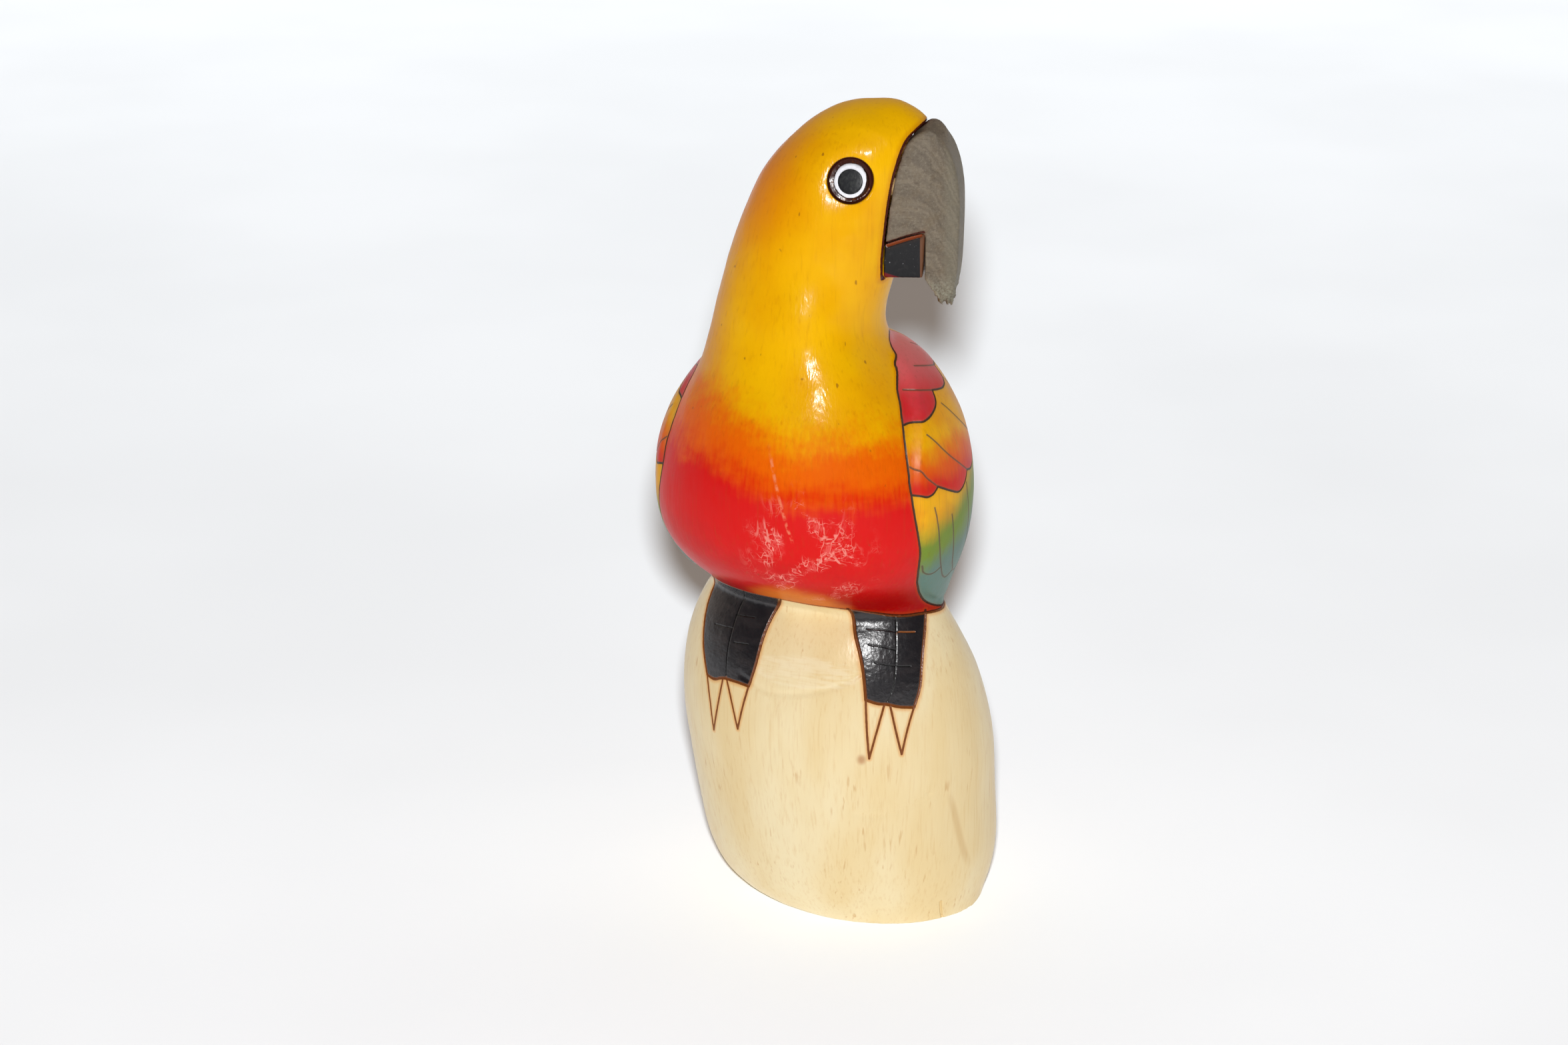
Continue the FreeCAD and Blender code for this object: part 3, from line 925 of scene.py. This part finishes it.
def mandible_paint():
    s = Shader("mandible_paint")
    reach = s.along(HEAD_FORWARD, NECK)
    flecks = s.noise(1.1, detail=3.0)
    black = s.tint((20, 20, 23), (36, 35, 36), flecks, 0.5, 0.8)
    dust = s.noise(0.5, detail=0.0)
    black = s.tint(black, (150, 150, 156), dust, 0.8, 0.86, 0.7)
    colour = s.mix(s.step(reach, 36.3, 36.6), black, (104, 66, 42))
    low = s.math("ADD", s.along(UP), s.times(reach, 0.35))
    colour = s.tint(colour, (104, 10, 16), low, 212.5, 212.1)
    colour = s.burned(colour, (132, 62, 30), (50, 30, 22), 0.4)
    return s.done(colour, 0.5, lacquer_relief(s), 0.14, coat=0.4, coat_roughness=0.15, specular=0.03)


def eye_paint():
    s = Shader("eye_paint")
    pupil_gap = s.gap((0.0, -0.25, 0.0), (1.0, 1.0, 0.0))
    white_gap = s.math("ADD", s.gap((0.0, 0.12, 0.0), (1.05, 1.0, 0.0)), s.drift(0.7, 3.0))
    shade = s.noise(1.2, detail=3.0)
    pupil = s.tint((26, 27, 31), (44, 46, 46), shade, 0.4, 0.7)
    white = s.tint((244, 245, 252), (232, 232, 238), shade, 0.4, 0.8)
    colour = s.mix(s.step(pupil_gap, EYE_PUPIL_R - 0.05, EYE_PUPIL_R + 0.08), pupil, white)
    colour = s.mix(s.step(white_gap, EYE_BUTTON_R - 0.3, EYE_BUTTON_R - 0.1), colour, (46, 20, 16))
    return s.done(colour, 0.5, shade, 0.05, coat=0.25, coat_roughness=0.3)


def dowel_wood():
    s = Shader("dowel_wood")
    fibres = s.noise(0.7, (1.0, 1.0, 0.08), detail=3.0)
    wood = s.tint((222, 190, 140), (196, 156, 100), fibres, 0.35, 0.7)
    return s.done(wood, 0.65, fibres, 0.05)


def floor_paper():
    s = Shader("floor_paper")
    clouds = s.noise(300.0, detail=3.0)
    paper = s.tint((236, 235, 235), (230, 229, 229), clouds, 0.3, 0.7)
    return s.done(paper, 0.7, s.noise(2.0, detail=3.0), 0.02)


# ---------------------------------------------------------------- pieces


def eye_axis(side):
    return HEAD_CHEEK * (side * math.cos(EYE_RISE)) + UP * math.sin(EYE_RISE)


def eye_centre(side):
    return NECK + HEAD_FORWARD * EYE_REACH + HEAD_CHEEK * (side * EYE_SIDE) + UP * EYE_Z


def waist_curve():
    first_angle, first_z = WAIST_LINE[0]
    return smooth_curve(WAIST_LINE + [(first_angle + 360.0, first_z)])


def chain(strokes):
    return np.concatenate([smooth_curve(s) for s in strokes])


def wing_rows(t, z):
    """0 on the coverts, 1 on the middle row, 2 on the primaries."""
    covert = np.concatenate([chain(COVERT_EDGE), COVERT_CORNERS])
    middle = np.concatenate([chain(MIDDLE_EDGE), MIDDLE_CORNERS])
    return 2.0 - inside(middle, t, z) - inside(covert, t, z)


def leg_outline(leg):
    outer, hem, inner = (smooth_curve(leg[k]) for k in ("outer", "hem", "inner"))
    top = [(inner[0][0], LEG_TOP), (outer[0][0], LEG_TOP)]
    return np.concatenate([outer, hem, inner[::-1], top])


def skin_lines(tree):
    """Outlines, feather edges and light strokes on the skin, and its unburned nicks and checks."""
    outlines = [drop_on(tree, waist_chart, waist_curve())]
    edges = []
    fine = []
    for side in (1, -1):
        chart = wing_chart(side)
        edges.append(drop_on(tree, chart, smooth_curve(WING_OUTLINE, closed=True)))
        edges.append(draw(tree, chart, COVERT_EDGE + MIDDLE_EDGE))
        fine.append(draw(tree, chart, COVERT_QUILLS + MIDDLE_QUILLS + PRIMARY_QUILLS + PRIMARY_TIPS))
    for leg in LEGS:
        outlines.append(draw(tree, front_chart, [leg["outer"], leg["inner"], leg["hem"]]))
        edges.append(draw(tree, front_chart, leg["claws"]))
        fine.append(draw(tree, front_chart, [leg["shin"]] + leg["scales"]))
    nicks = draw(tree, front_chart, NICKS)
    check = draw(tree, front_chart, [BASE_CHECK])
    return [np.concatenate(group) for group in (outlines, edges, fine)] + [nicks, check]


def seam_gap(points):
    """Distance from the seam between head and beak, seen from the side."""
    offset = points - np.array(NECK)
    place = np.stack([offset @ np.array(HEAD_FORWARD), points[:, 2]], axis=1)
    gap = np.full(len(points), FAR)
    near = (place[:, 0] > FACE_LINE[0][0] - SEAM_BEHIND) & (place[:, 1] > FACE_LINE[0][1] - SEAM_BELOW)
    seam = smooth_curve(FACE_LINE, steps=12)
    gap[near] = np.linalg.norm(place[near, None, :] - seam[None, :, :], axis=2).min(axis=1)
    return gap


def eye_rims():
    """Points round the edge of both eye recesses."""
    rims = []
    for side in (1, -1):
        axis = eye_axis(side)
        across = axis.cross(UP).normalized()
        over = across.cross(axis)
        for k in range(EYE_STEPS):
            angle = 2.0 * math.pi * k / EYE_STEPS
            spoke = across * math.cos(angle) + over * math.sin(angle)
            rims.append(np.array(eye_centre(side) + spoke * EYE_RECESS_R))
    return np.array(rims)


def seam_rims(surface):
    """The skin's points nearest the seam between head and beak."""
    points = places(surface)
    return points[seam_gap(points) < SEAM_FINE_REACH]


def shape_skin(surface):
    """Rounds the folds that carving leaves soft and fills out the breast and the top of the head."""
    for side in (1, -1):
        for margin, rounds in EYE_DISCS:
            relax_disc(surface, eye_centre(side), eye_axis(side), EYE_RECESS_R + margin, rounds)
    for ridge in SWELLS:
        swell(surface, *ridge)
    tree = BVHTree.FromBMesh(surface)
    first, last = WAIST_SOFT_ANGLES
    front_waist = [(angle, z) for angle, z in waist_curve() if first < angle < last]
    soften_along(surface, drop_on(tree, waist_chart, front_waist), *WAIST_SOFT)
    outline = smooth_curve(WING_OUTLINE, closed=True)
    shoulder = [(t, z) for t, z in outline if t < SHOULDER_FRONT and z > SHOULDER_LOW]
    for side in (1, -1):
        soften_along(surface, drop_on(tree, wing_chart(side), shoulder), *SHOULDER_SOFT)
    ripple(surface, SKIN_RIPPLE, SKIN_RIPPLE_SIZE)


def sink_eyes(points):
    """Depth of the turned recess round each eye."""
    depth = np.zeros(len(points))
    for side in (1, -1):
        offset = points - np.array(eye_centre(side))
        height = offset @ np.array(eye_axis(side))
        radius = np.linalg.norm(offset - np.outer(height, eye_axis(side)), axis=1)
        slope = np.clip((EYE_RECESS_R - radius) / EYE_RECESS_SLOPE, 0.0, 1.0)
        depth += np.where(np.abs(height) < EYE_LAYER_HALF, EYE_RECESS_DEPTH * slope, 0.0)
    return depth


def build_skin():
    """The grooved skin as points and triangles, with each point's distance from the burned lines."""
    surface = remeshed(SKIN_NODES, SKIN_VOXEL, SKIN_SMOOTHING)
    shape_skin(surface)
    outlines, edges, fine, nicks, check = skin_lines(BVHTree.FromBMesh(surface))
    sharp = np.concatenate([outlines, edges, fine, check, eye_rims(), seam_rims(surface)])
    refine(surface, sharp, FINE_REACH)
    points = places(surface)
    far_outline = np.minimum(distances(points, outlines), seam_gap(points) * BROAD_HALF / SEAM_HALF)
    far_edge = distances(points, edges)
    far_fine = distances(points, fine)
    grooves = [
        groove(far_outline, BROAD_HALF, BROAD_DEPTH),
        groove(far_edge, EDGE_HALF, EDGE_DEPTH),
        groove(far_fine, FINE_HALF, FINE_DEPTH),
        groove(distances(points, nicks), NICK_HALF, NICK_DEPTH),
        groove(distances(points, check), CHECK_HALF, CHECK_DEPTH),
    ]
    lift(surface, -(np.maximum.reduce(grooves) + sink_eyes(points)))
    fields = {
        "burn": np.minimum(far_outline / BROAD_HALF, far_edge / EDGE_HALF).clip(0.0, FAR),
        "etch": (far_fine / FINE_HALF).clip(0.0, FAR),
    }
    points, faces = triangles(surface)
    return points, faces, fields


def label_skin(points, fields):
    """Names the piece that each point belongs to, and adds the feather rows and the black legs."""
    x, y, z = points.T
    angle = np.degrees(np.arctan2(x - WAIST_CENTRE.x, WAIST_CENTRE.y - y))
    curve = waist_curve()
    waist = np.interp(angle, curve[:, 0], curve[:, 1], period=360.0)
    labels = np.where(z > waist, "body", "stump").astype(object)
    rows = np.zeros(len(points))
    for side, name in ((1, "wing_left"), (-1, "wing_right")):
        outward, along = wing_axes(side)
        offset = points - np.array(WING_MIDDLE)
        t = offset @ np.array(along)
        outer = offset @ np.array(outward) > WING_INNER
        wing = outer & (labels == "body") & inside(smooth_curve(WING_OUTLINE, closed=True), t, z)
        labels[wing] = name
        rows = np.where(wing, wing_rows(t, z), rows)
    fields["row"] = rows
    legs = np.zeros(len(points))
    for leg in LEGS:
        legs = np.maximum(legs, inside(leg_outline(leg), x, z) & (y < WAIST_CENTRE.y))
    fields["leg"] = legs
    reach = (points - np.array(NECK)) @ np.array(HEAD_FORWARD)
    seam = smooth_curve(FACE_LINE)
    beak = (z > FACE_LINE[0][1]) & (reach > np.interp(z, seam[:, 1], seam[:, 0]))
    tip = (z > TIP_Z[0]) & (z < TIP_Z[1]) & (reach > TIP_REACH)
    labels[beak | tip] = "beak"
    return labels


def face_labels(faces, labels):
    """Each face takes the label that most of its corners have."""
    result = []
    for a, b, c in faces:
        result.append(labels[a] if labels[a] in (labels[b], labels[c]) else labels[b])
    return result


def cut_skin():
    """Stump, body and wings. The skin over the beak is left out: the beak is carved from its own nodes."""
    points, faces, fields = build_skin()
    labels = face_labels(faces, label_skin(points, fields))
    waist_seat = WAIST_CENTRE + UP * WAIST_SEAT_Z
    beak_seat = NECK + HEAD_FORWARD * BEAK_SEAT[0] + UP * BEAK_SEAT[1]
    wing_seats = {
        name: WING_MIDDLE + wing_axes(side)[0] * WING_SEAT[0] + UP * WING_SEAT[1]
        for side, name in ((1, "wing_left"), (-1, "wing_right"))
    }
    seats = {"stump": waist_seat, "body": waist_seat, "beak": beak_seat, **wing_seats}
    finishes = {
        "stump": (stump_wood(), "stump_wood"),
        "body": (body_paint(), "body_paint"),
        "wing_left": (wing_paint(1), "wing_paint"),
        "wing_right": (wing_paint(-1), "wing_paint"),
    }
    for name, (paint, slot) in finishes.items():
        own_seats = seats
        if name in wing_seats:
            own_seats = {"stump": seats[name], "body": seats[name]}
        piece = cut_piece(name + "_carving", points, faces, fields, labels, name, own_seats)
        piece.data.materials.append(paint)
        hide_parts(name)


def carved_piece(node, drawings, paint, ridges=(), seam=False, frayed=False):
    """A CAD node remeshed alone, with its own burned strokes."""
    surface = remeshed((node,), *CARVING[node])
    for ridge in ridges:
        swell(surface, *ridge)
    tree = BVHTree.FromBMesh(surface)
    line = np.concatenate([draw(tree, chart, strokes) for chart, strokes in drawings])
    refine(surface, line, FINE_REACH[1:])
    points = places(surface)
    far = distances(points, line)
    if seam:
        far = np.minimum(far, seam_gap(points))
    lift(surface, -groove(far, BROAD_HALF, BROAD_DEPTH))
    if frayed:
        splinter(surface)
    points, faces = triangles(surface)
    name = node + "_carving"
    piece = new_object(name, mesh_from(name, points, faces, {"burn": (far / BROAD_HALF).clip(0.0, FAR)}))
    piece.data.materials.append(paint)
    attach(piece, "root")
    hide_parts(node)


def splinter(surface):
    """Frays the broken tip of the beak and draws it out into shards."""
    surface.normal_update()
    for v in surface.verts:
        x, y, z = v.co / MM
        fray = min(1.0, max(0.0, (FRAY_TOP - z) / FRAY_SPAN))
        if fray > 0.0:
            level = noise.noise(Vector((x * 1.6, y * 1.6, z * 0.35)))
            v.co += v.normal * (level * FRAY_ROUGHNESS * fray * MM)
            shard = max(0.0, noise.noise(Vector((x * 0.8, y * 0.8, 7.0))) + 0.15)
            v.co.z -= shard * SHARD_LENGTH * fray**2 * MM


def build_tail():
    feathers = []
    for middle_z in TAIL_FEATHERS:
        for side in (1.0, -1.0):
            feathers.append([(side * x, middle_z + z) for x, z in TAIL_FEATHER_EDGE])
    carved_piece("tail", [(back_chart, [TAIL_QUILL] + feathers)], tail_paint())


def build_beak():
    mouth = [(cheek_chart(side), [MOUTH_LINE]) for side in (1, -1)]
    gums = [(cheek_chart(side), [GUM_LINE]) for side in (1, -1)]
    carved_piece("upper_beak", mouth, beak_wood(), [BEAK_SWELL], seam=True, frayed=True)
    carved_piece("lower_beak", gums, mandible_paint())


def build_eyes():
    """Turned buttons: a flat pupil, a fine groove, and a rounded white rim."""
    paint = eye_paint()
    for side, node in ((1, "eye_right"), (-1, "eye_left")):
        lathe = bmesh.new()
        section = [lathe.verts.new((r * MM, 0.0, h * MM)) for r, h in EYE_PROFILE]
        edges = [lathe.edges.new(pair) for pair in zip(section, section[1:])]
        turned = {"axis": (0, 0, 1), "cent": (0, 0, 0), "steps": EYE_STEPS, "angle": 2.0 * math.pi}
        bmesh.ops.spin(lathe, geom=section + edges, **turned)
        bmesh.ops.remove_doubles(lathe, verts=lathe.verts, dist=0.001 * MM)
        bmesh.ops.recalc_face_normals(lathe, faces=lathe.faces)
        mesh = bpy.data.meshes.new(node + "_button")
        lathe.to_mesh(mesh)
        lathe.free()
        mesh.shade_smooth()
        mesh.materials.append(paint)
        button = new_object(node + "_button", mesh)
        turn = eye_axis(side).to_track_quat("Z", "Y").to_matrix().to_4x4()
        button.matrix_world = Matrix.Translation(eye_centre(side) * MM) @ turn
        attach(button, "root")
        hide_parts(node)


def finish_dowels():
    paint = dowel_wood()
    for node in ("dowel_left", "dowel_right", "beak_dowel"):
        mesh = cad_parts[node].data
        mesh.materials.clear()
        mesh.materials.append(paint)


# ---------------------------------------------------------------- camera, light and floor


def camera_directions():
    """Unit vectors from the object towards the camera and up the picture."""
    azimuth = math.radians(CAMERA_AZIMUTH)
    elevation = math.radians(CAMERA_ELEVATION)
    level = Vector((math.sin(azimuth), -math.cos(azimuth), 0.0))
    back = level * math.cos(elevation) + UP * math.sin(elevation)
    right = Vector((math.cos(azimuth), math.sin(azimuth), 0.0))
    return back, back.cross(right)


def add_camera():
    back = camera_directions()[0]
    camera = bpy.data.objects.new("camera", bpy.data.cameras.new("camera"))
    bpy.context.scene.collection.objects.link(camera)
    camera.data.lens = CAMERA_LENS
    camera.data.sensor_width = 36.0
    camera.data.shift_x, camera.data.shift_y = CAMERA_SHIFT
    camera.location = (CAMERA_TARGET + back * CAMERA_DISTANCE) * MM
    camera.rotation_mode = "QUATERNION"
    camera.rotation_quaternion = back.to_track_quat("Z", "Y")
    bpy.context.scene.camera = camera


def flash_light(name, power, back, up):
    """A round flash just above the lens."""
    light = bpy.data.lights.new(name, "AREA")
    light.shape = "DISK"
    light.size = FLASH_SIZE * MM
    light.energy = power
    lamp = bpy.data.objects.new(name, light)
    place = CAMERA_TARGET + back * CAMERA_DISTANCE + up * FLASH_ABOVE_LENS
    lamp.location = place * MM
    lamp.rotation_mode = "QUATERNION"
    lamp.rotation_quaternion = (place - CAMERA_TARGET).to_track_quat("Z", "Y")
    bpy.context.scene.collection.objects.link(lamp)
    return lamp


def even_reach(lamp):
    """Lets the light grow with distance, so that a level floor is lit as evenly as a paper sweep."""
    lamp.data.use_nodes = True
    tree = lamp.data.node_tree
    falloff = add_node(tree, "ShaderNodeLightFalloff")
    falloff.inputs["Strength"].default_value = 1.0
    path = add_node(tree, "ShaderNodeLightPath")
    power = add_node(tree, "ShaderNodeMath", operation="POWER")
    power.inputs[1].default_value = SPILL_GROWTH
    tree.links.new(path.outputs["Ray Length"], power.inputs[0])
    growth = add_node(tree, "ShaderNodeMath", operation="MULTIPLY")
    tree.links.new(falloff.outputs["Constant"], growth.inputs[0])
    tree.links.new(power.outputs[0], growth.inputs[1])
    tree.links.new(growth.outputs[0], tree.nodes["Emission"].inputs["Strength"])


def studio_world(back):
    """A dim room in front of the object and a bright sweep behind it."""
    world = bpy.data.worlds.new("studio")
    bpy.context.scene.world = world
    world.use_nodes = True
    tree = world.node_tree
    direction = add_node(tree, "ShaderNodeTexCoord").outputs["Generated"]
    facing = add_node(tree, "ShaderNodeVectorMath", operation="DOT_PRODUCT")
    facing.inputs[1].default_value = back
    tree.links.new(direction, facing.inputs[0])
    strength = add_node(tree, "ShaderNodeMapRange", interpolation_type="SMOOTHSTEP")
    strength.inputs["From Min"].default_value = 0.5
    strength.inputs["From Max"].default_value = -0.5
    strength.inputs["To Min"].default_value = ROOM_FRONT
    strength.inputs["To Max"].default_value = ROOM_BACK
    tree.links.new(facing.outputs["Value"], strength.inputs["Value"])
    background = tree.nodes["Background"]
    background.inputs["Color"].default_value = srgb(*ROOM_COLOUR)
    tree.links.new(strength.outputs["Result"], background.inputs["Strength"])


def add_lights(floor):
    """One flash on everything and one that only lights the floor, in a dim room."""
    back, up = camera_directions()
    flash_light("flash", FLASH_POWER, back, up)
    floor_only = bpy.data.collections.new("floor_only")
    floor_only.objects.link(floor)
    spill = flash_light("floor_flash", SPILL_POWER, back, up)
    spill.data.color = SPILL_COLOUR
    even_reach(spill)
    spill.light_linking.receiver_collection = floor_only
    studio_world(back)


def add_floor():
    mesh = bpy.data.meshes.new("floor")
    h = FLOOR_HALF * MM
    mesh.from_pydata([(-h, -h, 0.0), (h, -h, 0.0), (h, h, 0.0), (-h, h, 0.0)], [], [(0, 1, 2, 3)])
    mesh.materials.append(floor_paper())
    floor = new_object("floor", mesh)
    return floor


# ---------------------------------------------------------------- scene

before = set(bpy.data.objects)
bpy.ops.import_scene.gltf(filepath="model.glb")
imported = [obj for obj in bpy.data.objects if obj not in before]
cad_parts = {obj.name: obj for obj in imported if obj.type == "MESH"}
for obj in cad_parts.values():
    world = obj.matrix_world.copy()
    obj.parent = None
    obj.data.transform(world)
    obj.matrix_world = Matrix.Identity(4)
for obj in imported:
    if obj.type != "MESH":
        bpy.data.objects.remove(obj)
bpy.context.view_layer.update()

add_camera()
add_lights(add_floor())
bpy.context.scene.view_settings.view_transform = "Standard"

cut_skin()
build_tail()
build_beak()
build_eyes()
finish_dowels()
